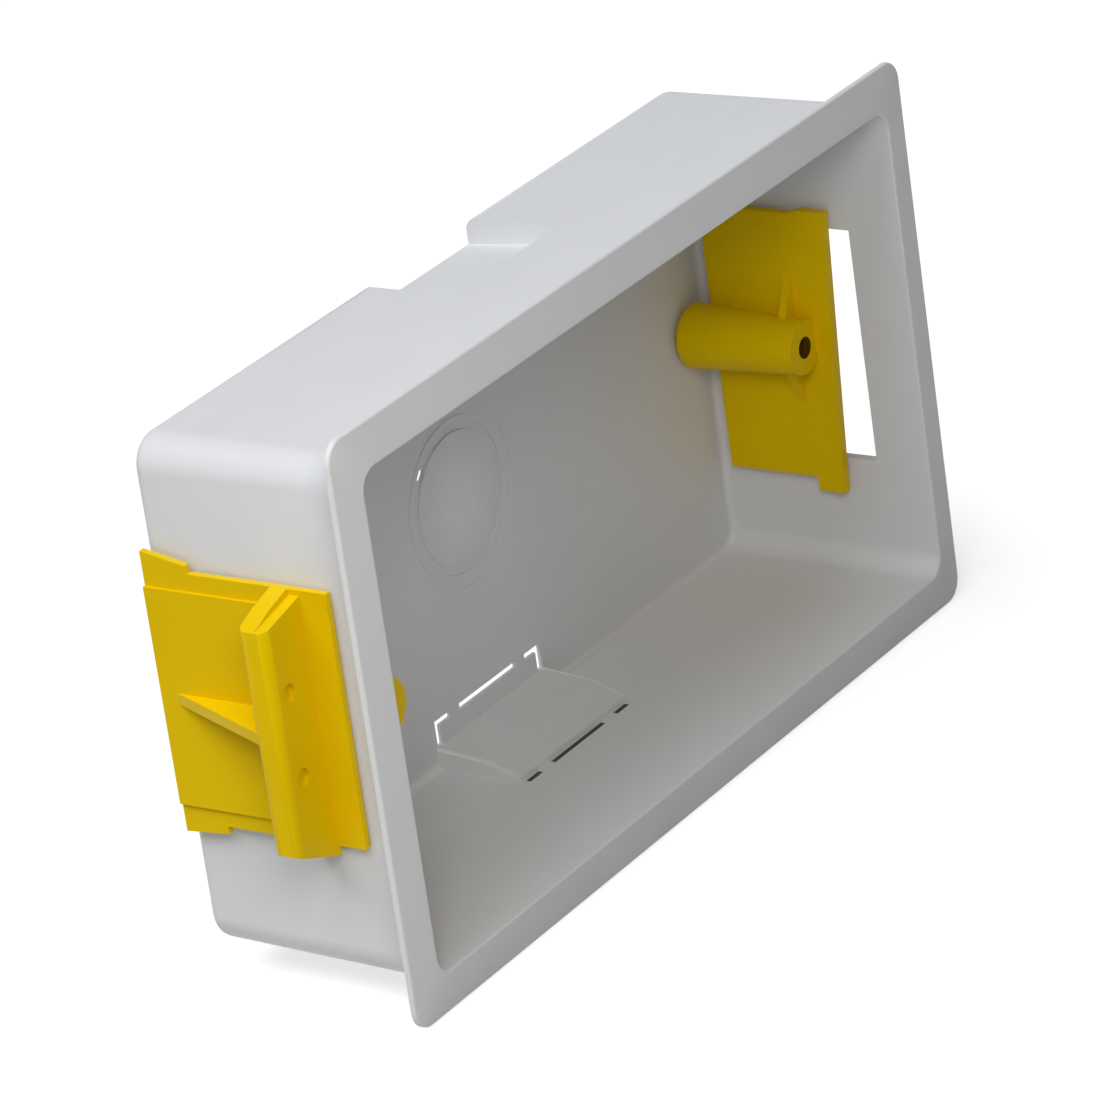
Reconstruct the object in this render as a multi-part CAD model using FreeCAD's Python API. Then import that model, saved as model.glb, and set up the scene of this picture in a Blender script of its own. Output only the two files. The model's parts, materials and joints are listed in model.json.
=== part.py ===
"""Two-gang drywall back box, 35 mm deep, with two sliding clamp lugs.

The frame has its origin at the centre of the flange's back plane, which lies on
the plasterboard. X runs along the box, +Y goes into the wall and +Z is up.
Lengths are in millimetres.
"""
import FreeCAD, Part
import math
import os

# Flange round the front opening, which reaches out past the tray at the ends and a little
# more above and below; its front slopes back from a flat land to a thinner outer edge
FLANGE_END_REACH = 4.0
FLANGE_SIDE_REACH = 4.5
FLANGE_THICK = 1.5
FLANGE_TAPER = 0.75
FLANGE_LAND = 0.5
FLANGE_CORNER = 3.3
FLANGE_EDGE_ROUND = 0.4

# Tray behind the flange, which narrows slightly towards the back
BODY_WIDTH = 134.0
BODY_HEIGHT = 74.5
BODY_DEPTH = 35.0
BODY_NARROWING = 0.6
BODY_CORNER = 4.5
BACK_EDGE_ROUND = 2.0
WALL = 1.5
OPENING_EDGE_ROUND = 0.3
FLOOR_EDGE_ROUND = 1.0

# Slot in each end wall in which a lug slides; it sits a little below the middle at the
# +X end and as much above it at the other end
SLOT_HEIGHT = 35.8
SLOT_FRONT = 7.2
SLOT_LENGTH = 23.0
SLOT_DROP = 1.2

# Cable entry pressed into the top and bottom rear edges, held by thin bridges
ENTRY_WIDTH = 25.5
ENTRY_SIDE_WALL = 0.9
ENTRY_SKIN = 0.65
ENTRY_DEPTH = 4.0
ENTRY_FLOOR_RISE = 0.9
ENTRY_FLOOR_LENGTH = 10.0
ENTRY_RAMP_LENGTH = 6.4
ENTRY_RAMP_SAG = 1.0
ENTRY_RAMP_RUN_OUT = 1.0
ENTRY_STRIP = 4.0
ENTRY_STEP = 0.8
ENTRY_FOOT_SETBACK = 1.1
ENTRY_FOLD_SETBACK = 1.4
ENTRY_MEMBRANE = 0.5
ENTRY_POCKET_MARGIN = 2.2
SLIT_WIDTH = 0.9
SIDE_SLIT_WIDTH = 1.1
LONG_SLIT = 14.2
SLIT_BRIDGE = 2.4
SCORE_WIDTH = 0.8
SCORE_DEPTH = 0.8
LONG_SCORE = 13.0
SCORE_BRIDGE = 3.1

# Round knock-out in the middle of the back wall
KNOCKOUT_RADIUS = 10.25
OUTER_RING_RADIUS = 12.4
RING_WIDTH = 1.2
INNER_RING_DEPTH = 0.3
OUTER_RING_DEPTH = 0.15
DISC_THICK = 0.8
DISC_POCKET_MARGIN = 0.6
NICK_WIDTH = 1.5
NICK_LENGTH = 1.6
NICK_ANGLE = 139.0

# Outer plate of the lug and the neck that fills the slot, given at the front stop on
# the +X end of the box
LUG_TRAVEL = 9.5
NECK_SIDE_CLEARANCE = 0.25
NECK_END_CLEARANCE = 0.1
OUTER_PLATE_OVERLAP = 0.3
OUTER_PLATE_FRONT_OVERLAP = 1.9
OUTER_PLATE_LENGTH = 29.2
OUTER_PLATE_CLEARANCE = 0.2
OUTER_PLATE_THICK = 1.0
RAISED_HEIGHT = 0.5
RAISED_SETBACK = 2.5
TAIL_EAR_LENGTH = 7.0
TAIL_EAR_FRONT_REACH = 1.1
UPPER_TAIL_REACH = 1.7
LOWER_TAIL_REACH = 2.4

# Wing that grips the back of the board
GRIP_SETBACK = 4.3
GRIP_THICK = 1.7
WING_THICK = 4.3
WING_REACH = 9.3
WING_BEND_SETBACK = 3.8
WING_BEND_DROP = 1.1
WING_TIP_DROP = 2.6
WING_HEEL_REACH = 1.6
WING_HEEL_TIP_DROP = 2.0
GRIP_ROOT_DROP = 0.7
WING_EDGE_ROUND = 1.2
DIMPLE_RADIUS = 1.25
DIMPLE_DEPTH = 0.8
DIMPLE_SETBACK = 3.3
DIMPLE_SPACING = 12.0
GUSSET_SETBACK = 1.5
GUSSET_THICK = 1.6

# Plate on the inside of the end wall and the screw boss on it
PLATE_CLEARANCE = 0.225
PLATE_THICK = 1.5
PLATE_OVERLAP = 2.6
PLATE_LENGTH = 21.0
PLATE_SLANT = 2.1
PLATE_EAR_LENGTH = 4.2
UPPER_EAR = 0.6
LOWER_EAR = 2.2
SCREW_CENTRES = 120.6
BOSS_STOP_CLEARANCE = 0.2
BOSS_LENGTH = 19.6
BOSS_PAST_PLATE = 2.4
BOSS_FRONT_RADIUS = 4.0
BOSS_BACK_RADIUS = 4.9
BOSS_END_CHAMFER = 1.0
SCREW_HOLE_RADIUS = 1.6
WEB_SETBACK = 2.8
WEB_THICK = 1.2
WEB_HALF_HEIGHT = 10.0

# Cutting tools run past the surface that they cut, joined pieces sink into each other, and
# an edge lies in a plane if it keeps this near to it
PAST = 5.0
SINK = 0.4
NEAR = 0.0001

# Places that follow from the sizes above
FRONT_Y = -FLANGE_THICK
FLANGE_EDGE_Y = FRONT_Y + FLANGE_TAPER
FLOOR_Y = BODY_DEPTH - WALL


def narrowing_at(y):
    """How far each outer face has come in at the depth y."""
    return BODY_NARROWING * (y - FRONT_Y) / (BODY_DEPTH - FRONT_Y)


def end_wall_at(y):
    """The X of an end wall's outer face at the depth y."""
    return BODY_WIDTH / 2 - narrowing_at(y)


def inner_face_at(y):
    """The Z of the top wall's inner face at the depth y."""
    return BODY_HEIGHT / 2 - WALL - narrowing_at(y)


PLATE_OUTER_X = end_wall_at(FLOOR_Y) - WALL - PLATE_CLEARANCE
PLATE_INNER_X = PLATE_OUTER_X - PLATE_THICK
PLATE_HALF_HEIGHT = SLOT_HEIGHT / 2 + PLATE_OVERLAP
NECK_HALF_HEIGHT = SLOT_HEIGHT / 2 - NECK_SIDE_CLEARANCE
NECK_FRONT = SLOT_FRONT + NECK_END_CLEARANCE
NECK_BACK = SLOT_FRONT + SLOT_LENGTH - LUG_TRAVEL - NECK_END_CLEARANCE
OUTER_PLATE_FRONT = SLOT_FRONT - OUTER_PLATE_FRONT_OVERLAP
OUTER_PLATE_BACK = OUTER_PLATE_FRONT + OUTER_PLATE_LENGTH
OUTER_PLATE_HALF = SLOT_HEIGHT / 2 + OUTER_PLATE_OVERLAP
OUTER_PLATE_ROOT_X = end_wall_at(OUTER_PLATE_FRONT) + OUTER_PLATE_CLEARANCE
OUTER_PLATE_X = OUTER_PLATE_ROOT_X + OUTER_PLATE_THICK
TAIL_EAR_FRONT = OUTER_PLATE_BACK - TAIL_EAR_LENGTH
WING_FRONT = OUTER_PLATE_FRONT + GRIP_SETBACK
WING_BACK = WING_FRONT + WING_THICK
WING_TIP_X = BODY_WIDTH / 2 + WING_REACH
BOSS_X = SCREW_CENTRES / 2
BOSS_BACK = FLOOR_Y - BOSS_STOP_CLEARANCE - LUG_TRAVEL
BOSS_FRONT = BOSS_BACK - BOSS_LENGTH
PLATE_BACK = BOSS_BACK - BOSS_PAST_PLATE
PLATE_FRONT = PLATE_BACK - PLATE_LENGTH
ENTRY_BACK_FLOOR = BODY_HEIGHT / 2 - BODY_NARROWING - ENTRY_DEPTH
ENTRY_MID_FLOOR = ENTRY_BACK_FLOOR + ENTRY_FLOOR_RISE
ENTRY_MID_Y = BODY_DEPTH - ENTRY_FLOOR_LENGTH
ENTRY_FRONT_Y = ENTRY_MID_Y - ENTRY_RAMP_LENGTH
ENTRY_STRIP_EDGE = ENTRY_BACK_FLOOR - ENTRY_STRIP
ENTRY_PANEL = ENTRY_BACK_FLOOR - ENTRY_SKIN
ENTRY_FOOT_Y = ENTRY_FRONT_Y + ENTRY_FOOT_SETBACK
ENTRY_FOLD_Y = ENTRY_FRONT_Y + ENTRY_FOLD_SETBACK

# Points and directions used throughout
CENTRE = FreeCAD.Vector(0, 0, 0)
INWARD = FreeCAD.Vector(0, 1, 0)


def box_between(low, high):
    """A block between two opposite corners."""
    size = [b - a for a, b in zip(low, high)]
    return Part.makeBox(size[0], size[1], size[2], FreeCAD.Vector(*low))


def rounded_rectangle(width, height, radius, y):
    """A rounded rectangle round the Y axis at the depth y."""
    half_w = width / 2
    half_h = height / 2
    bend = radius * (1 - math.sqrt(0.5))
    edges = []
    corners = [(1, 1), (-1, 1), (-1, -1), (1, -1)]
    for index, (side_x, side_z) in enumerate(corners):
        on_end = FreeCAD.Vector(side_x * half_w, y, side_z * (half_h - radius))
        middle = FreeCAD.Vector(side_x * (half_w - bend), y, side_z * (half_h - bend))
        on_long = FreeCAD.Vector(side_x * (half_w - radius), y, side_z * half_h)
        start, finish = (on_end, on_long) if index % 2 == 0 else (on_long, on_end)
        if edges:
            edges.append(Part.makeLine(edges[-1].Vertexes[-1].Point, start))
        else:
            first = start
        edges.append(Part.Arc(start, middle, finish).toShape())
    edges.append(Part.makeLine(finish, first))
    return Part.Wire(edges)


def drafted_block(width, height, radius, front, back):
    """A block with rounded corners that narrows from front to back."""
    wires = []
    for y in (front, back):
        inset = 2 * narrowing_at(y)
        wires.append(rounded_rectangle(width - inset, height - inset, radius, y))
    return Part.makeLoft(wires, True, True)


def edges_at(shape, y):
    """The edges that lie in the plane at the depth y."""
    found = []
    for edge in shape.Edges:
        bounds = edge.BoundBox
        if abs(bounds.YMin - y) < NEAR and abs(bounds.YMax - y) < NEAR:
            found.append(edge)
    return found


def inside_opening(edge):
    """Whether an edge belongs to the front opening and not to the land or the flange's outline."""
    bounds = edge.BoundBox
    reach_x = max(abs(bounds.XMin), abs(bounds.XMax))
    reach_z = max(abs(bounds.ZMin), abs(bounds.ZMax))
    past_opening = WALL - FLANGE_LAND / 2
    return reach_x < BODY_WIDTH / 2 - past_opening and reach_z < BODY_HEIGHT / 2 - past_opening


def plate_in_xz(points, front, back):
    """A plate with an outline in X and Z between two depths."""
    corners = [FreeCAD.Vector(x, front, z) for x, z in points]
    face = Part.Face(Part.makePolygon(corners + corners[:1]))
    return face.extrude(FreeCAD.Vector(0, back - front, 0))


def section_lines(points):
    """Straight edges through points given as depth and height."""
    corners = [FreeCAD.Vector(0, y, z) for y, z in points]
    return [Part.makeLine(a, b) for a, b in zip(corners, corners[1:])]


def bar_in_yz(edges, low_x, high_x):
    """A bar along X with its section in Y and Z given as joined edges."""
    face = Part.Face(Part.Wire(edges))
    face.translate(FreeCAD.Vector(low_x, 0, 0))
    return face.extrude(FreeCAD.Vector(high_x - low_x, 0, 0))


def entry_recess():
    """The hollow of the top cable entry: a sloping floor that sweeps up in a ramp."""
    top = BODY_HEIGHT / 2 + ENTRY_RAMP_RUN_OUT
    back = BODY_DEPTH + PAST
    back_floor = ENTRY_BACK_FLOOR - ENTRY_FLOOR_RISE / ENTRY_FLOOR_LENGTH * PAST
    ramp_start = FreeCAD.Vector(0, ENTRY_MID_Y, ENTRY_MID_FLOOR)
    ramp_end = FreeCAD.Vector(0, ENTRY_FRONT_Y, top)
    chord = ramp_end.sub(ramp_start)
    sag = FreeCAD.Vector(0, -chord.z, chord.y).normalize().multiply(ENTRY_RAMP_SAG)
    ramp_middle = ramp_start.add(chord.multiply(0.5)).add(sag)
    corners = [(ENTRY_FRONT_Y, top), (back, top), (back, back_floor)]
    corners.append((ENTRY_MID_Y, ENTRY_MID_FLOOR))
    edges = section_lines(corners)
    edges.append(Part.Arc(ramp_start, ramp_middle, ramp_end).toShape())
    return bar_in_yz(edges, -ENTRY_WIDTH / 2, ENTRY_WIDTH / 2)


def entry_bump():
    """The skin of the top cable entry, which follows the hollow and stands into the box."""
    top = BODY_HEIGHT / 2 - BODY_NARROWING - WALL / 2
    back = BODY_DEPTH - WALL / 2
    corners = [
        (ENTRY_FOOT_Y, top),
        (back, top),
        (back, ENTRY_PANEL),
        (ENTRY_MID_Y, ENTRY_PANEL + ENTRY_FLOOR_RISE),
        (ENTRY_FOLD_Y, inner_face_at(ENTRY_FOLD_Y) - ENTRY_STEP),
        (ENTRY_FOOT_Y, top),
    ]
    half = ENTRY_WIDTH / 2 + ENTRY_SIDE_WALL
    return bar_in_yz(section_lines(corners), -half, half)


def broken_line(long_span, bridge):
    """The stretches along X of a long cut with a short one past a bridge on each side."""
    half_width = ENTRY_WIDTH / 2
    short_start = long_span / 2 + bridge
    spans = [(-long_span / 2, long_span / 2)]
    spans.append((short_start, half_width))
    spans.append((-half_width, -short_start))
    return spans


def entry_slits():
    """The cuts through the thin back wall that leave the top entry hanging on bridges."""
    half = SLIT_WIDTH / 2
    cuts = []
    for left, right in broken_line(LONG_SLIT, SLIT_BRIDGE):
        low = (left, FLOOR_Y - PAST, ENTRY_STRIP_EDGE - half)
        high = (right, BODY_DEPTH + PAST, ENTRY_STRIP_EDGE + half)
        cuts.append(box_between(low, high))
    half_side = SIDE_SLIT_WIDTH / 2
    for side in (-1, 1):
        centre = side * ENTRY_WIDTH / 2
        low = (centre - half_side, FLOOR_Y - PAST, ENTRY_STRIP_EDGE - half)
        high = (centre + half_side, BODY_DEPTH + PAST, ENTRY_PANEL)
        cuts.append(box_between(low, high))
    return Part.makeCompound(cuts)


def entry_scores():
    """The short grooves at the foot of the top entry, where its skin breaks off."""
    surface = inner_face_at(ENTRY_FOOT_Y)
    cuts = []
    for left, right in broken_line(LONG_SCORE, SCORE_BRIDGE):
        low = (left, ENTRY_FOOT_Y - SCORE_WIDTH, surface - SCORE_DEPTH)
        high = (right, ENTRY_FOOT_Y, surface + SCORE_DEPTH)
        cuts.append(box_between(low, high))
    return Part.makeCompound(cuts)


def entry_pocket():
    """The hollow behind the top cable entry that leaves the back wall thin there."""
    half = ENTRY_WIDTH / 2 + ENTRY_POCKET_MARGIN
    low = (-half, FLOOR_Y + ENTRY_MEMBRANE, ENTRY_STRIP_EDGE - ENTRY_POCKET_MARGIN)
    high = (half, BODY_DEPTH + PAST, ENTRY_BACK_FLOOR)
    return box_between(low, high)


def disc_pocket():
    """The round hollow in the outside of the back wall that leaves a thin disc."""
    start = FreeCAD.Vector(0, FLOOR_Y + DISC_THICK, 0)
    return Part.makeCylinder(KNOCKOUT_RADIUS + DISC_POCKET_MARGIN, PAST, start, INWARD)


def ring_groove(radius, depth):
    """A round groove in the inner face of the back wall."""
    start = FreeCAD.Vector(0, FLOOR_Y - PAST, 0)
    outer = Part.makeCylinder(radius + RING_WIDTH / 2, PAST + depth, start, INWARD)
    inner = Part.makeCylinder(radius - RING_WIDTH / 2, PAST + depth, start, INWARD)
    return outer.cut(inner)


def ring_nick():
    """The short slit through the back wall on the knock-out's edge."""
    low = (KNOCKOUT_RADIUS - NICK_WIDTH / 2, FLOOR_Y - PAST, -NICK_LENGTH / 2)
    high = (KNOCKOUT_RADIUS + NICK_WIDTH / 2, BODY_DEPTH + PAST, NICK_LENGTH / 2)
    nick = box_between(low, high)
    nick.rotate(CENTRE, INWARD, -NICK_ANGLE)
    return nick


def end_slot():
    """The slot for the lug through the end wall at the +X end."""
    half = SLOT_HEIGHT / 2
    low = (PLATE_INNER_X, SLOT_FRONT, -SLOT_DROP - half)
    high = (BODY_WIDTH / 2 + PAST, SLOT_FRONT + SLOT_LENGTH, -SLOT_DROP + half)
    return box_between(low, high)


def make_tray():
    """The flanged tray with its drafted walls and rounded edges."""
    flange_width = BODY_WIDTH + 2 * FLANGE_END_REACH
    flange_height = BODY_HEIGHT + 2 * FLANGE_SIDE_REACH
    inner_width = BODY_WIDTH - 2 * WALL
    inner_height = BODY_HEIGHT - 2 * WALL
    inner_corner = BODY_CORNER - WALL
    outline = rounded_rectangle(flange_width, flange_height, FLANGE_CORNER, FLANGE_EDGE_Y)
    land = rounded_rectangle(
        inner_width + 2 * FLANGE_LAND,
        inner_height + 2 * FLANGE_LAND,
        inner_corner + FLANGE_LAND,
        FRONT_Y,
    )
    edge_thick = FLANGE_THICK - FLANGE_TAPER
    flange = Part.Face(outline).extrude(FreeCAD.Vector(0, edge_thick, 0))
    flange = flange.fuse(Part.makeLoft([outline, land], True, True)).removeSplitter()
    flange = flange.makeFillet(FLANGE_EDGE_ROUND, edges_at(flange, FLANGE_EDGE_Y))
    body = drafted_block(BODY_WIDTH, BODY_HEIGHT, BODY_CORNER, FLANGE_EDGE_Y, BODY_DEPTH)
    body = body.makeFillet(BACK_EDGE_ROUND, edges_at(body, BODY_DEPTH))
    hollow = drafted_block(inner_width, inner_height, inner_corner, FRONT_Y, FLOOR_Y)
    hollow = hollow.makeFillet(FLOOR_EDGE_ROUND, edges_at(hollow, FLOOR_Y))
    tray = flange.fuse(body).cut(hollow)
    rim = [edge for edge in edges_at(tray, FRONT_Y) if inside_opening(edge)]
    return tray.makeFillet(OPENING_EDGE_ROUND, rim)


def make_box():
    """The white moulding: tray, end slots, cable entries and knock-out."""
    shell = make_tray()
    for turn in (0, 180):
        bump = entry_bump()
        bump.rotate(CENTRE, INWARD, turn)
        shell = shell.fuse(bump)
        tools = [entry_recess(), entry_pocket(), entry_slits(), entry_scores(), end_slot()]
        for tool in tools:
            tool.rotate(CENTRE, INWARD, turn)
            shell = shell.cut(tool)
    shell = shell.cut(disc_pocket())
    shell = shell.cut(ring_groove(KNOCKOUT_RADIUS, INNER_RING_DEPTH))
    shell = shell.cut(ring_groove(OUTER_RING_RADIUS, OUTER_RING_DEPTH))
    shell = shell.cut(ring_nick())
    return shell.removeSplitter()


def make_outer_plate():
    """The plate on the outside of the end wall, with eared tail, raised middle and neck."""
    half = OUTER_PLATE_HALF
    ear_half = half + TAIL_EAR_FRONT_REACH
    corners = [
        (OUTER_PLATE_FRONT, half),
        (TAIL_EAR_FRONT, half),
        (TAIL_EAR_FRONT, ear_half),
        (OUTER_PLATE_BACK, half + UPPER_TAIL_REACH),
        (OUTER_PLATE_BACK, -half - LOWER_TAIL_REACH),
        (TAIL_EAR_FRONT, -ear_half),
        (TAIL_EAR_FRONT, -half),
        (OUTER_PLATE_FRONT, -half),
    ]
    edges = section_lines(corners + corners[:1])
    plate = bar_in_yz(edges, OUTER_PLATE_ROOT_X, OUTER_PLATE_X)
    raised_half = half - RAISED_SETBACK
    low = (OUTER_PLATE_ROOT_X, WING_BACK - SINK, -raised_half)
    high = (OUTER_PLATE_X + RAISED_HEIGHT, OUTER_PLATE_BACK, raised_half)
    plate = plate.fuse(box_between(low, high))
    low = (PLATE_INNER_X + SINK, NECK_FRONT, -NECK_HALF_HEIGHT)
    high = (OUTER_PLATE_X - SINK, NECK_BACK, NECK_HALF_HEIGHT)
    return plate.fuse(box_between(low, high))


def make_wing():
    """The wing: a tapering slab with a stepped grip face, two dimples and a longer heel."""
    root_x = OUTER_PLATE_X - SINK
    root_half = OUTER_PLATE_HALF
    heel = [
        (WING_TIP_X, root_half - WING_HEEL_TIP_DROP),
        (root_x, root_half + WING_HEEL_REACH),
    ]
    tip = (WING_TIP_X, WING_TIP_DROP - root_half)
    body = heel + [
        (root_x, -root_half),
        (OUTER_PLATE_X + SINK, -root_half),
        (WING_TIP_X - WING_BEND_SETBACK, WING_BEND_DROP - root_half),
        tip,
    ]
    grip = heel + [(root_x, GRIP_ROOT_DROP - root_half), tip]
    step = WING_FRONT + GRIP_THICK
    wing = plate_in_xz(body, step, WING_BACK)
    wing = wing.fuse(plate_in_xz(grip, WING_FRONT, step)).removeSplitter()
    tip_edges = []
    for edge in wing.Edges:
        bounds = edge.BoundBox
        on_tip = abs(bounds.XMin - WING_TIP_X) < NEAR
        if on_tip and bounds.YLength < NEAR:
            tip_edges.append(edge)
    wing = wing.makeFillet(WING_EDGE_ROUND, tip_edges)
    for side in (1, -1):
        place = (WING_TIP_X - DIMPLE_SETBACK, WING_FRONT - PAST, side * DIMPLE_SPACING / 2)
        length = PAST + DIMPLE_DEPTH
        dimple = Part.makeCylinder(DIMPLE_RADIUS, length, FreeCAD.Vector(*place), INWARD)
        wing = wing.cut(dimple)
    return wing


def make_gusset():
    """The three-cornered rib that props the wing from behind."""
    low_z = -GUSSET_THICK / 2
    foot_y = WING_BACK - SINK
    back = FreeCAD.Vector(OUTER_PLATE_X, OUTER_PLATE_BACK - GUSSET_SETBACK, low_z)
    foot = FreeCAD.Vector(OUTER_PLATE_X, foot_y, low_z)
    tip = FreeCAD.Vector(WING_TIP_X - WING_EDGE_ROUND / 2, foot_y, low_z)
    face = Part.Face(Part.makePolygon([back, foot, tip, back]))
    return face.extrude(FreeCAD.Vector(0, 0, GUSSET_THICK))


def make_inner_plate():
    """The plate inside the end wall, with a slanting front edge and two ears."""
    half = PLATE_HALF_HEIGHT
    ear_back = PLATE_FRONT + PLATE_SLANT + PLATE_EAR_LENGTH
    corners = [
        (PLATE_BACK, half),
        (ear_back, half),
        (ear_back - PLATE_SLANT, half + UPPER_EAR),
        (PLATE_FRONT, half + UPPER_EAR),
        (PLATE_FRONT + PLATE_SLANT, -half - LOWER_EAR),
        (ear_back, -half - LOWER_EAR),
        (ear_back, -half),
        (PLATE_BACK, -half),
        (PLATE_BACK, half),
    ]
    return bar_in_yz(section_lines(corners), PLATE_INNER_X, PLATE_OUTER_X)


def make_boss():
    """The tapered screw boss, bevelled behind and flat beside the wall, with its two webs."""
    start = FreeCAD.Vector(BOSS_X, BOSS_FRONT, 0)
    boss = Part.makeCone(BOSS_FRONT_RADIUS, BOSS_BACK_RADIUS, BOSS_LENGTH, start, INWARD)
    boss = boss.makeChamfer(BOSS_END_CHAMFER, edges_at(boss, BOSS_BACK))
    reach = BOSS_BACK_RADIUS + PAST
    low = (PLATE_OUTER_X, BOSS_FRONT - PAST, -reach)
    high = (PLATE_OUTER_X + reach, BOSS_BACK + PAST, reach)
    boss = boss.cut(box_between(low, high))
    web_front = BOSS_FRONT + WEB_SETBACK
    for side in (1, -1):
        points = [
            (BOSS_X, 0),
            (PLATE_INNER_X + SINK, 0),
            (PLATE_INNER_X + SINK, side * WEB_HALF_HEIGHT),
            (PLATE_INNER_X, side * WEB_HALF_HEIGHT),
            (BOSS_X, side * BOSS_FRONT_RADIUS),
        ]
        boss = boss.fuse(plate_in_xz(points, web_front, web_front + WEB_THICK))
    return boss


def make_lug():
    """The yellow moulding at its front stop on the +X end; only the boss is on the middle."""
    lug = make_outer_plate()
    for piece in (make_wing(), make_gusset(), make_inner_plate()):
        lug = lug.fuse(piece)
    lug.translate(FreeCAD.Vector(0, 0, -SLOT_DROP))
    lug = lug.fuse(make_boss())
    start = FreeCAD.Vector(BOSS_X, BOSS_FRONT - PAST, 0)
    hole = Part.makeCylinder(SCREW_HOLE_RADIUS, BOSS_LENGTH + 2 * PAST, start, INWARD)
    return lug.cut(hole).removeSplitter()


def save(shape, name):
    """Writes one piece as a single solid."""
    solids = shape.Solids
    if len(solids) != 1 or not solids[0].isValid():
        raise ValueError(f"{name} has {len(solids)} solids or a broken one")
    solids[0].exportStep(f"parts/{name}.step")


os.makedirs("parts", exist_ok=True)
save(make_box(), "box_shell")

# The same moulding serves both ends: one at its front stop, one at its rear stop
left_lug = make_lug()
left_lug.rotate(CENTRE, INWARD, 180)
save(left_lug, "left_lug")
right_lug = make_lug()
right_lug.translate(FreeCAD.Vector(0, LUG_TRAVEL, 0))
save(right_lug, "right_lug")
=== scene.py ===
import json
import math
import bpy
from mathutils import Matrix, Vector


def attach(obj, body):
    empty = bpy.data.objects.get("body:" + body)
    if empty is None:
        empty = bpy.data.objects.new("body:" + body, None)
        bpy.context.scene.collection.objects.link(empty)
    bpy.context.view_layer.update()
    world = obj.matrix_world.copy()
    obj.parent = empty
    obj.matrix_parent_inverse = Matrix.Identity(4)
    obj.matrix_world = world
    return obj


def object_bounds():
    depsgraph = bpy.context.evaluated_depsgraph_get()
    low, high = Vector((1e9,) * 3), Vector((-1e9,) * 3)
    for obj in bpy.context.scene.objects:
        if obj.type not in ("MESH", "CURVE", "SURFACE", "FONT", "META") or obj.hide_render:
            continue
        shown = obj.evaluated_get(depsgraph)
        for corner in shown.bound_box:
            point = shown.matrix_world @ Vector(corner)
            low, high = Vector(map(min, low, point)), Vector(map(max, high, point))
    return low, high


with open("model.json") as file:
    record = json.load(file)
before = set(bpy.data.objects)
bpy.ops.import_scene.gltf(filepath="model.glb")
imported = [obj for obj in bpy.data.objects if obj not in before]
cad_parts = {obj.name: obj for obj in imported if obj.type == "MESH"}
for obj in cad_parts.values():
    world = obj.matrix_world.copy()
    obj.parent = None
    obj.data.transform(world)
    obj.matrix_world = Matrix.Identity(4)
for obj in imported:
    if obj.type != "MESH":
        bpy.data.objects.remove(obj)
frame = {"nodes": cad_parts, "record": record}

cad_low, cad_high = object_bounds()

# Box shell: the tray that sits in the cut-out of the board, with a flange round its mouth.
# It is one moulding in white rigid plastic with a fine satin grain, and its cable entries
# and round knock-out are thin places in the same moulding, some of them cut or scored.
SHELL_COLOUR = (0.745, 0.757, 0.780, 1.0)
SHELL_CLOUD = (0.727, 0.739, 0.760, 1.0)
SHELL_DULL = 0.50
SHELL_GLOSS = 0.42
SHELL_SHINE = 0.40
SHELL_SHINE_TINT = (1.0, 1.0, 1.0, 1.0)
SHELL_EDGE_ROUND = 0.00018

# Painted shade: the grooves at the foot of each cable entry are coloured dark
SCORE_SHADE_COLOUR = (0.190, 0.180, 0.170, 1.0)
SCORE_MIDDLE_Y = 0.0193
SCORE_HALF_Y = 0.00045
SCORE_MIDDLE_Z = 0.03586
SCORE_HALF_Z = 0.00040
SCORE_HALF_X = 0.0135

# A painted highlight along the side edges of the thin panel over each cable entry
PANEL_HIGHLIGHT_COLOUR = (0.960, 0.965, 0.970, 1.0)
PANEL_EDGE_X = 0.01365
PANEL_EDGE_HALF = 0.00040
PANEL_MIDDLE_Y = 0.0268
PANEL_HALF_Y = 0.0067
# The panel's depth in the box and its height from the middle, at its back, bend and front
PANEL_BACK = (0.0350, 0.0320)
PANEL_BEND = (0.0250, 0.0329)
PANEL_FRONT = (0.0200, 0.0346)
# The depth in the box and the share of the painted highlight, where the edge is dimmest and
# brightest
PANEL_DIM = (0.0200, 0.15)
PANEL_LIT = (0.0335, 1.0)

# Painted light: the thin round disc in the middle of the back wall is coloured paler, for the
# light that shines through it
DISC_LIGHT_COLOUR = (0.840, 0.850, 0.865, 1.0)
DISC_EDGE = 0.0098
DISC_PALE = 0.0030

# The skin of a moulding: slow clouds in its colour, gloss that wanders and fine grain
CLOUD_SCALE = 55.0
CLOUD_DETAIL = 4.0
CLOUD_LOW = 0.35
CLOUD_HIGH = 0.70
SMEAR_SCALE = 160.0
SMEAR_DETAIL = 3.0
SMEAR_LOW = 0.30
SMEAR_HIGH = 0.70
GRAIN_SCALE = 2600.0
GRAIN_DETAIL = 2.0
GRAIN_STRENGTH = 0.12
GRAIN_DEPTH = 0.00005
PLASTIC_IOR = 1.5

# The rounding of sharp edges, after points that lie in one place are joined
WELD_REACH = 0.000002
EDGE_STEPS = 2
EDGE_ANGLE_DEGREES = 35


def add_noise(nodes, links, place, scale, detail):
    """A cloudy pattern of one size, fixed to the piece."""
    noise = nodes.new("ShaderNodeTexNoise")
    noise.inputs["Scale"].default_value = scale
    noise.inputs["Detail"].default_value = detail
    links.new(place.outputs["Object"], noise.inputs["Vector"])
    return noise.outputs["Fac"]


def add_range(nodes, links, value, low, high):
    """Stretches a value from low to high over 0 to 1, or over the range that its user sets."""
    stretch = nodes.new("ShaderNodeMapRange")
    stretch.inputs["From Min"].default_value = low
    stretch.inputs["From Max"].default_value = high
    links.new(value, stretch.inputs["Value"])
    return stretch


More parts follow.
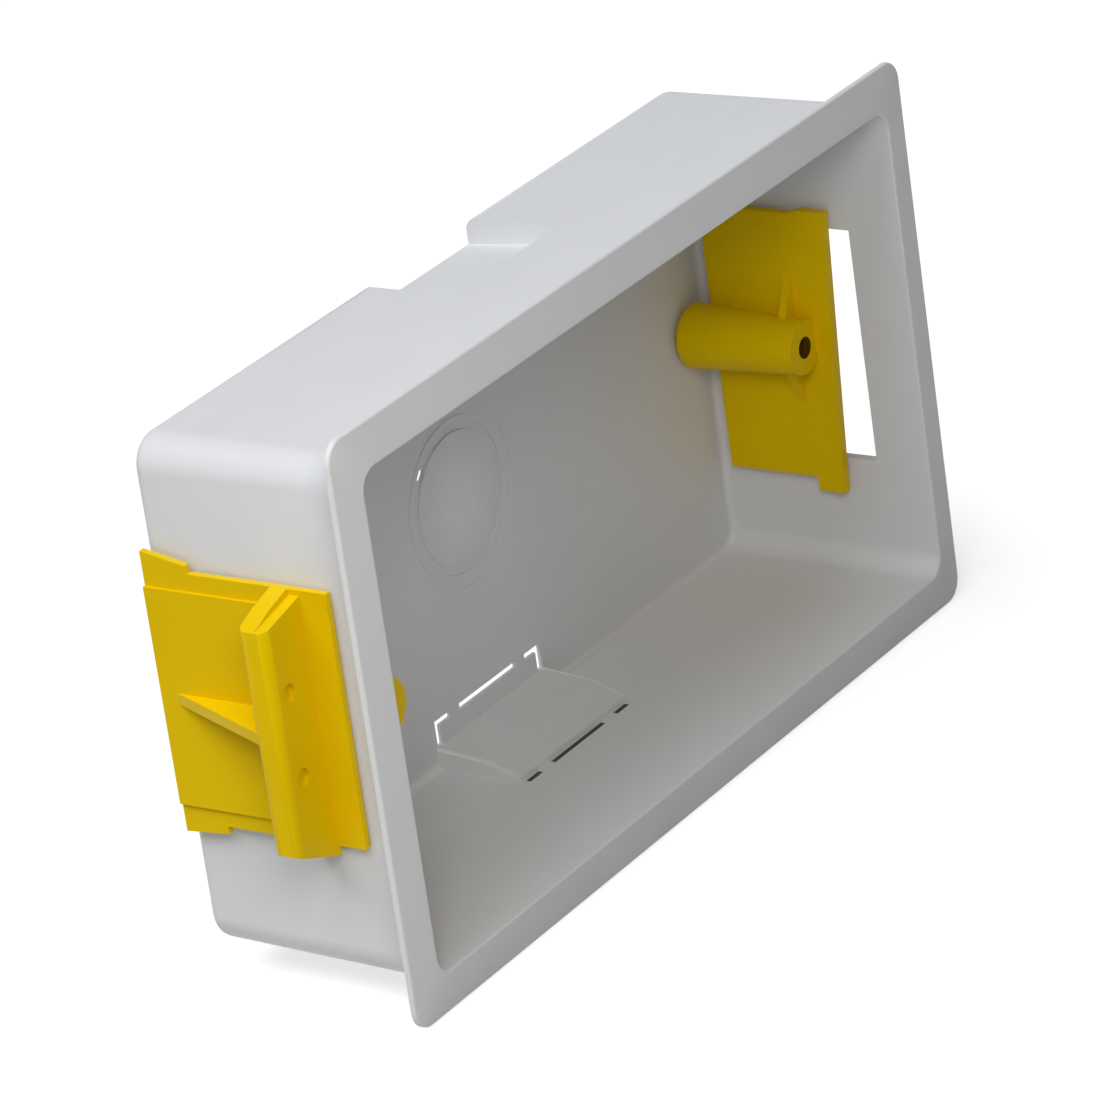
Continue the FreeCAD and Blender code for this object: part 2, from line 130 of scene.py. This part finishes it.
def add_colour_mix(nodes, links, factor, first, second):
    """Blends two colours by a mask."""
    mix = nodes.new("ShaderNodeMix")
    mix.data_type = "RGBA"
    links.new(factor, mix.inputs["Factor"])
    links.new(first, mix.inputs["A"])
    links.new(second, mix.inputs["B"])
    return mix.outputs["Result"]


def make_moulded_skin():
    """The look of moulded plastic, with the colours and the roughness left open."""
    group = bpy.data.node_groups.new("moulded_skin", "ShaderNodeTree")
    sockets = group.interface
    sockets.new_socket("Main Colour", in_out="INPUT", socket_type="NodeSocketColor")
    sockets.new_socket("Cloud Colour", in_out="INPUT", socket_type="NodeSocketColor")
    sockets.new_socket("Dull Roughness", in_out="INPUT", socket_type="NodeSocketFloat")
    sockets.new_socket("Gloss Roughness", in_out="INPUT", socket_type="NodeSocketFloat")
    sockets.new_socket("Colour", in_out="OUTPUT", socket_type="NodeSocketColor")
    sockets.new_socket("Roughness", in_out="OUTPUT", socket_type="NodeSocketFloat")
    sockets.new_socket("Grain", in_out="OUTPUT", socket_type="NodeSocketFloat")
    nodes = group.nodes
    links = group.links
    given = nodes.new("NodeGroupInput")
    made = nodes.new("NodeGroupOutput")
    place = nodes.new("ShaderNodeTexCoord")

    clouds = add_noise(nodes, links, place, CLOUD_SCALE, CLOUD_DETAIL)
    cloud_range = add_range(nodes, links, clouds, CLOUD_LOW, CLOUD_HIGH)
    main = given.outputs["Main Colour"]
    cloud = given.outputs["Cloud Colour"]
    colour = add_colour_mix(nodes, links, cloud_range.outputs["Result"], main, cloud)
    links.new(colour, made.inputs["Colour"])

    smears = add_noise(nodes, links, place, SMEAR_SCALE, SMEAR_DETAIL)
    gloss = add_range(nodes, links, smears, SMEAR_LOW, SMEAR_HIGH)
    links.new(given.outputs["Gloss Roughness"], gloss.inputs["To Min"])
    links.new(given.outputs["Dull Roughness"], gloss.inputs["To Max"])
    links.new(gloss.outputs["Result"], made.inputs["Roughness"])

    grain = add_noise(nodes, links, place, GRAIN_SCALE, GRAIN_DETAIL)
    links.new(grain, made.inputs["Grain"])


def make_plastic(name, main, cloud, dull, gloss, shine, shine_tint):
    """A satin moulded plastic in one colour."""
    material = bpy.data.materials.new(name)
    material.use_nodes = True
    nodes = material.node_tree.nodes
    links = material.node_tree.links
    shader = nodes["Principled BSDF"]
    skin = nodes.new("ShaderNodeGroup")
    skin.node_tree = bpy.data.node_groups["moulded_skin"]
    skin.inputs["Main Colour"].default_value = main
    skin.inputs["Cloud Colour"].default_value = cloud
    skin.inputs["Dull Roughness"].default_value = dull
    skin.inputs["Gloss Roughness"].default_value = gloss
    bump = nodes.new("ShaderNodeBump")
    bump.inputs["Strength"].default_value = GRAIN_STRENGTH
    bump.inputs["Distance"].default_value = GRAIN_DEPTH
    shader.inputs["IOR"].default_value = PLASTIC_IOR
    shader.inputs["Specular IOR Level"].default_value = shine
    shader.inputs["Specular Tint"].default_value = shine_tint
    links.new(skin.outputs["Colour"], shader.inputs["Base Color"])
    links.new(skin.outputs["Roughness"], shader.inputs["Roughness"])
    links.new(skin.outputs["Grain"], bump.inputs["Height"])
    links.new(bump.outputs["Normal"], shader.inputs["Normal"])
    return material


def reckon(nodes, links, operation, *values):
    """One step of arithmetic on values, each of which is a number or comes from another node."""
    step = nodes.new("ShaderNodeMath")
    step.operation = operation
    for socket, value in zip(step.inputs, values):
        if isinstance(value, float):
            socket.default_value = value
        else:
            links.new(value, socket)
    return step.outputs[0]


def find_radius(nodes, links, across, up):
    """The distance from an axis that runs front to back."""
    across_square = reckon(nodes, links, "MULTIPLY", across, across)
    up_square = reckon(nodes, links, "MULTIPLY", up, up)
    return reckon(nodes, links, "SQRT", reckon(nodes, links, "ADD", across_square, up_square))


def find_score_shade(nodes, links, place):
    """A mask that is 1 inside the score grooves of both cable entries, where shade is painted.
    """
    height = reckon(nodes, links, "ABSOLUTE", place["Z"])
    in_width = reckon(nodes, links, "COMPARE", place["X"], 0.0, SCORE_HALF_X)
    in_length = reckon(nodes, links, "COMPARE", place["Y"], SCORE_MIDDLE_Y, SCORE_HALF_Y)
    in_wall = reckon(nodes, links, "COMPARE", height, SCORE_MIDDLE_Z, SCORE_HALF_Z)
    in_plan = reckon(nodes, links, "MULTIPLY", in_width, in_length)
    return reckon(nodes, links, "MULTIPLY", in_plan, in_wall)


def add_slope(nodes, links, value, start, end):
    """A straight line through two points, which runs on past both of them."""
    start_depth, start_level = start
    end_depth, end_level = end
    slope = add_range(nodes, links, value, start_depth, end_depth)
    slope.clamp = False
    slope.inputs["To Min"].default_value = start_level
    slope.inputs["To Max"].default_value = end_level
    return slope.outputs["Result"]


def find_panel_highlight(nodes, links, place):
    """A mask of the painted highlight on the side edges of the panels over both cable entries,
    strongest at the back.
    """
    height = reckon(nodes, links, "ABSOLUTE", place["Z"])
    side = reckon(nodes, links, "ABSOLUTE", place["X"])
    floor_line = add_slope(nodes, links, place["Y"], PANEL_BEND, PANEL_BACK)
    ramp_line = add_slope(nodes, links, place["Y"], PANEL_FRONT, PANEL_BEND)
    panel_line = reckon(nodes, links, "MAXIMUM", floor_line, ramp_line)
    above = reckon(nodes, links, "SUBTRACT", height, panel_line)
    at_panel = reckon(nodes, links, "COMPARE", above, 0.0, PANEL_EDGE_HALF)
    at_side = reckon(nodes, links, "COMPARE", side, PANEL_EDGE_X, PANEL_EDGE_HALF)
    in_length = reckon(nodes, links, "COMPARE", place["Y"], PANEL_MIDDLE_Y, PANEL_HALF_Y)
    at_edge = reckon(nodes, links, "MULTIPLY", at_panel, at_side)
    on_panel = reckon(nodes, links, "MULTIPLY", at_edge, in_length)
    fade = add_slope(nodes, links, place["Y"], PANEL_DIM, PANEL_LIT)
    return reckon(nodes, links, "MULTIPLY", on_panel, fade)


def find_disc_light(nodes, links, place):
    """A mask of the painted light, which grows from 0 at the edge of the thin disc to 1 near its
    middle.
    """
    radius = find_radius(nodes, links, place["X"], place["Z"])
    return add_range(nodes, links, radius, DISC_EDGE, DISC_PALE).outputs["Result"]


def add_spots(material, name, find_mask, colour):
    """Changes a plastic's colour where a mask says so, which goes by the place in the piece."""
    group = bpy.data.node_groups.new(name, "ShaderNodeTree")
    group.interface.new_socket("Colour", in_out="INPUT", socket_type="NodeSocketColor")
    group.interface.new_socket("Spot Colour", in_out="INPUT", socket_type="NodeSocketColor")
    group.interface.new_socket("Colour", in_out="OUTPUT", socket_type="NodeSocketColor")
    given = group.nodes.new("NodeGroupInput")
    made = group.nodes.new("NodeGroupOutput")
    place = group.nodes.new("ShaderNodeTexCoord")
    axes = group.nodes.new("ShaderNodeSeparateXYZ")
    group.links.new(place.outputs["Object"], axes.inputs["Vector"])
    mask = find_mask(group.nodes, group.links, axes.outputs)
    plain = given.outputs["Colour"]
    spot = given.outputs["Spot Colour"]
    mixed = add_colour_mix(group.nodes, group.links, mask, plain, spot)
    group.links.new(mixed, made.inputs["Colour"])

    nodes = material.node_tree.nodes
    links = material.node_tree.links
    shader = nodes["Principled BSDF"]
    spots = nodes.new("ShaderNodeGroup")
    spots.node_tree = group
    spots.inputs["Spot Colour"].default_value = colour
    links.new(shader.inputs["Base Color"].links[0].from_socket, spots.inputs["Colour"])
    links.new(spots.outputs["Colour"], shader.inputs["Base Color"])


def dress(node, material, edge_round):
    """Gives a solid of the frame one material and takes the knife edge off its corners."""
    piece = frame["nodes"][node]
    piece.data.materials.clear()
    piece.data.materials.append(material)
    weld = piece.modifiers.new("weld", "WELD")
    weld.merge_threshold = WELD_REACH
    soft = piece.modifiers.new("soft_edges", "BEVEL")
    soft.width = edge_round
    soft.segments = EDGE_STEPS
    soft.limit_method = "ANGLE"
    soft.angle_limit = math.radians(EDGE_ANGLE_DEGREES)
    soft.use_clamp_overlap = True


make_moulded_skin()
white_plastic = make_plastic(
    "white_plastic",
    SHELL_COLOUR,
    SHELL_CLOUD,
    SHELL_DULL,
    SHELL_GLOSS,
    SHELL_SHINE,
    SHELL_SHINE_TINT,
)
# The score grooves get painted shade, a dark colour
add_spots(white_plastic, "score_painted_shade", find_score_shade, SCORE_SHADE_COLOUR)
# The panel edges get a painted highlight, a paler colour
add_spots(white_plastic, "panel_edge_highlight", find_panel_highlight, PANEL_HIGHLIGHT_COLOUR)
# The thin disc gets painted light, a paler colour
add_spots(white_plastic, "disc_painted_light", find_disc_light, DISC_LIGHT_COLOUR)
dress("box_shell", white_plastic, SHELL_EDGE_ROUND)

# Clamp lugs: the two yellow sliders that pull the flange tight against the board.
# One moulding in a tougher, slightly waxy plastic serves both ends; it sits astride the
# end slot and carries the boss that the faceplate screw runs in, whose bore is coloured dark as
# painted shade.
LUGS = ("left_lug", "right_lug")
LUG_COLOUR = (0.815, 0.562, 0.001, 1.0)
LUG_CLOUD = (0.785, 0.528, 0.001, 1.0)
LUG_DULL = 0.52
LUG_GLOSS = 0.38
LUG_SHINE = 0.14
LUG_SHINE_TINT = (1.0, 0.80, 0.05, 1.0)
LUG_EDGE_ROUND = 0.00025
BORE_SHADE_COLOUR = (0.090, 0.042, 0.001, 1.0)
BORE_REACH = 0.001625


def find_screw_hole(lug):
    """The mount in the record that gives the place and length of a lug's bore."""
    name = lug.replace("lug", "screw_hole")
    return next(mount for mount in frame["record"]["mounts"] if mount["name"] == name)


def find_bore_shade(nodes, links, place):
    """A mask of painted shade that is 1 inside the bores, which are equally far from the middle
    of the box.
    """
    bore_x = abs(find_screw_hole("right_lug")["pos_m"][0])
    side = reckon(nodes, links, "ABSOLUTE", place["X"])
    across = reckon(nodes, links, "SUBTRACT", side, bore_x)
    radius = find_radius(nodes, links, across, place["Z"])
    return reckon(nodes, links, "COMPARE", radius, 0.0, BORE_REACH)


yellow_plastic = make_plastic(
    "yellow_plastic",
    LUG_COLOUR,
    LUG_CLOUD,
    LUG_DULL,
    LUG_GLOSS,
    LUG_SHINE,
    LUG_SHINE_TINT,
)
# The bores get painted shade, a dark colour
add_spots(yellow_plastic, "bore", find_bore_shade, BORE_SHADE_COLOUR)
for lug in LUGS:
    dress(lug, yellow_plastic, LUG_EDGE_ROUND)

# Screw threads: the ridge wound along the bore of each boss, which the faceplate screw turns in.
# It is moulded with the lug, in the same yellow plastic, round a core that is screwed out.
MILLIMETRE = 0.001
THREAD_PITCH = 0.0006
THREAD_ROOT = 0.00162
THREAD_CREST = 0.00142
THREAD_HALF = 0.00022
THREAD_SETBACK = 0.0005
THREAD_STEPS = 20


def wind_thread(lug):
    """One three-cornered ridge wound from the mouth of a lug's bore to its end."""
    hole = find_screw_hole(lug)
    middle_x, mouth_y, middle_z = hole["pos_m"]
    length = hole["dims"]["length_mm"] * MILLIMETRE - 2.0 * THREAD_SETBACK
    steps = int(length / THREAD_PITCH * THREAD_STEPS)
    ridge = ((THREAD_ROOT, -THREAD_HALF), (THREAD_CREST, 0.0), (THREAD_ROOT, THREAD_HALF))
    sides = len(ridge)
    points = []
    faces = []
    for step in range(steps + 1):
        angle = 2.0 * math.pi * step / THREAD_STEPS
        depth = mouth_y + THREAD_SETBACK + THREAD_PITCH * step / THREAD_STEPS
        for radius, shift in ridge:
            point_x = middle_x + radius * math.cos(angle)
            point_z = middle_z + radius * math.sin(angle)
            points.append((point_x, depth + shift, point_z))
    for step in range(steps):
        here = sides * step
        ahead = here + sides
        for side in range(sides):
            follow = (side + 1) % sides
            faces.append((here + side, ahead + side, ahead + follow, here + follow))
    last = sides * steps
    faces.append((0, 1, 2))
    faces.append((last, last + 2, last + 1))
    mesh = bpy.data.meshes.new(lug + "_thread")
    mesh.from_pydata(points, [], faces)
    # The yellow plastic paints shade on the thread too, as it lies inside the bore
    mesh.materials.append(yellow_plastic)
    thread = bpy.data.objects.new(lug + "_thread", mesh)
    bpy.context.collection.objects.link(thread)
    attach(thread, lug)


for lug in LUGS:
    wind_thread(lug)

# Studio: a pale paper floor just under the flange, a wide soft light high on the left
# and a small soft lamp in front of the left end of the box.
# The floor looks white to the camera and throws a plain grey light back at the box.
FLOOR_GAP = 0.0002
FLOOR_REACH = 8.0
FLOOR_GLOW = 0.70
FLOOR_COLOUR = (0.55, 0.55, 0.55, 1.0)
FLOOR_SEEN_COLOUR = (0.62, 0.62, 0.62, 1.0)
SKY_COLOUR = (1.0, 1.0, 1.0, 1.0)
SKY_LIGHT = 0.03
SKY_SEEN = 1.0
KEY_FROM = Vector((-0.43, 0.17, 0.89))
KEY_ENERGY = 2.10
KEY_COLOUR = (0.945, 0.968, 1.0)
KEY_WIDTH_DEGREES = 50
LAMP_PLACE = Vector((-0.235, -0.17, 0.21))
LAMP_ENERGY = 0.50
LAMP_COLOUR = (1.0, 0.955, 0.885)
LAMP_SIZE = 0.14

floor_height = cad_low[2] - FLOOR_GAP
floor_corners = [
    (-FLOOR_REACH, -FLOOR_REACH, floor_height),
    (FLOOR_REACH, -FLOOR_REACH, floor_height),
    (FLOOR_REACH, FLOOR_REACH, floor_height),
    (-FLOOR_REACH, FLOOR_REACH, floor_height),
]
floor_mesh = bpy.data.meshes.new("floor")
floor_mesh.from_pydata(floor_corners, [], [(0, 1, 2, 3)])
floor = bpy.data.objects.new("floor", floor_mesh)
bpy.context.collection.objects.link(floor)


def seen_directly(nodes, links):
    """A mask that is 1 for rays from the camera, mirrors and glass, and 0 for light."""
    path = nodes.new("ShaderNodeLightPath").outputs
    seen = reckon(nodes, links, "MAXIMUM", path["Is Camera Ray"], path["Is Glossy Ray"])
    return reckon(nodes, links, "MAXIMUM", seen, path["Is Transmission Ray"])


floor_paper = bpy.data.materials.new("floor_paper")
floor_paper.use_nodes = True
paper_nodes = floor_paper.node_tree.nodes
paper_links = floor_paper.node_tree.links
paper_nodes.remove(paper_nodes["Principled BSDF"])
paper = paper_nodes.new("ShaderNodeBsdfDiffuse")
paper_glow = paper_nodes.new("ShaderNodeEmission")
paper_sum = paper_nodes.new("ShaderNodeAddShader")
paper_seen = seen_directly(paper_nodes, paper_links)
glow_strength = reckon(paper_nodes, paper_links, "MULTIPLY", paper_seen, FLOOR_GLOW)
paper_links.new(glow_strength, paper_glow.inputs["Strength"])
paper_colour = paper_nodes.new("ShaderNodeMix")
paper_colour.data_type = "RGBA"
paper_colour.inputs["A"].default_value = FLOOR_COLOUR
paper_colour.inputs["B"].default_value = FLOOR_SEEN_COLOUR
paper_links.new(paper_seen, paper_colour.inputs["Factor"])
paper_links.new(paper_colour.outputs["Result"], paper.inputs["Color"])
paper_links.new(paper.outputs["BSDF"], paper_sum.inputs[0])
paper_links.new(paper_glow.outputs["Emission"], paper_sum.inputs[1])
paper_links.new(paper_sum.outputs["Shader"], paper_nodes["Material Output"].inputs["Surface"])
floor_mesh.materials.append(floor_paper)

world = bpy.data.worlds.new("studio")
world.use_nodes = True
bpy.context.scene.world = world
sky_nodes = world.node_tree.nodes
sky_links = world.node_tree.links
sky = sky_nodes["Background"]
sky.inputs["Color"].default_value = SKY_COLOUR
sky_strength = sky_nodes.new("ShaderNodeMapRange")
sky_strength.inputs["To Min"].default_value = SKY_LIGHT
sky_strength.inputs["To Max"].default_value = SKY_SEEN
sky_links.new(seen_directly(sky_nodes, sky_links), sky_strength.inputs["Value"])
sky_links.new(sky_strength.outputs["Result"], sky.inputs["Strength"])

key_light = bpy.data.lights.new("key_light", "SUN")
key_light.energy = KEY_ENERGY
key_light.color = KEY_COLOUR
key_light.angle = math.radians(KEY_WIDTH_DEGREES)
key = bpy.data.objects.new("key_light", key_light)
key.rotation_euler = KEY_FROM.to_track_quat("Z", "Y").to_euler()
bpy.context.collection.objects.link(key)

near_light = bpy.data.lights.new("near_lamp", "AREA")
near_light.energy = LAMP_ENERGY
near_light.color = LAMP_COLOUR
near_light.size = LAMP_SIZE
near_lamp = bpy.data.objects.new("near_lamp", near_light)
near_lamp.location = LAMP_PLACE
near_lamp.rotation_euler = LAMP_PLACE.to_track_quat("Z", "Y").to_euler()
near_lamp.visible_camera = False
near_lamp.visible_glossy = False
bpy.context.collection.objects.link(near_lamp)

# Camera: a long lens at the photograph's angle, a little tilted as the photograph is.
# Its place, turn and lens were fitted to the straight edges of the box.
CAMERA_PLACE = (-0.66687, -0.47180, 0.34900)
CAMERA_TURN_DEGREES = (66.575, 7.631, -56.921)
CAMERA_LENS = 214.85
CAMERA_SENSOR = 36.0
camera_data = bpy.data.cameras.new("camera")
camera_data.sensor_width = CAMERA_SENSOR
camera_data.lens = CAMERA_LENS
camera = bpy.data.objects.new("camera", camera_data)
camera.location = CAMERA_PLACE
camera.rotation_euler = [math.radians(angle) for angle in CAMERA_TURN_DEGREES]
bpy.context.collection.objects.link(camera)
bpy.context.scene.camera = camera
bpy.context.scene.view_settings.view_transform = "Standard"
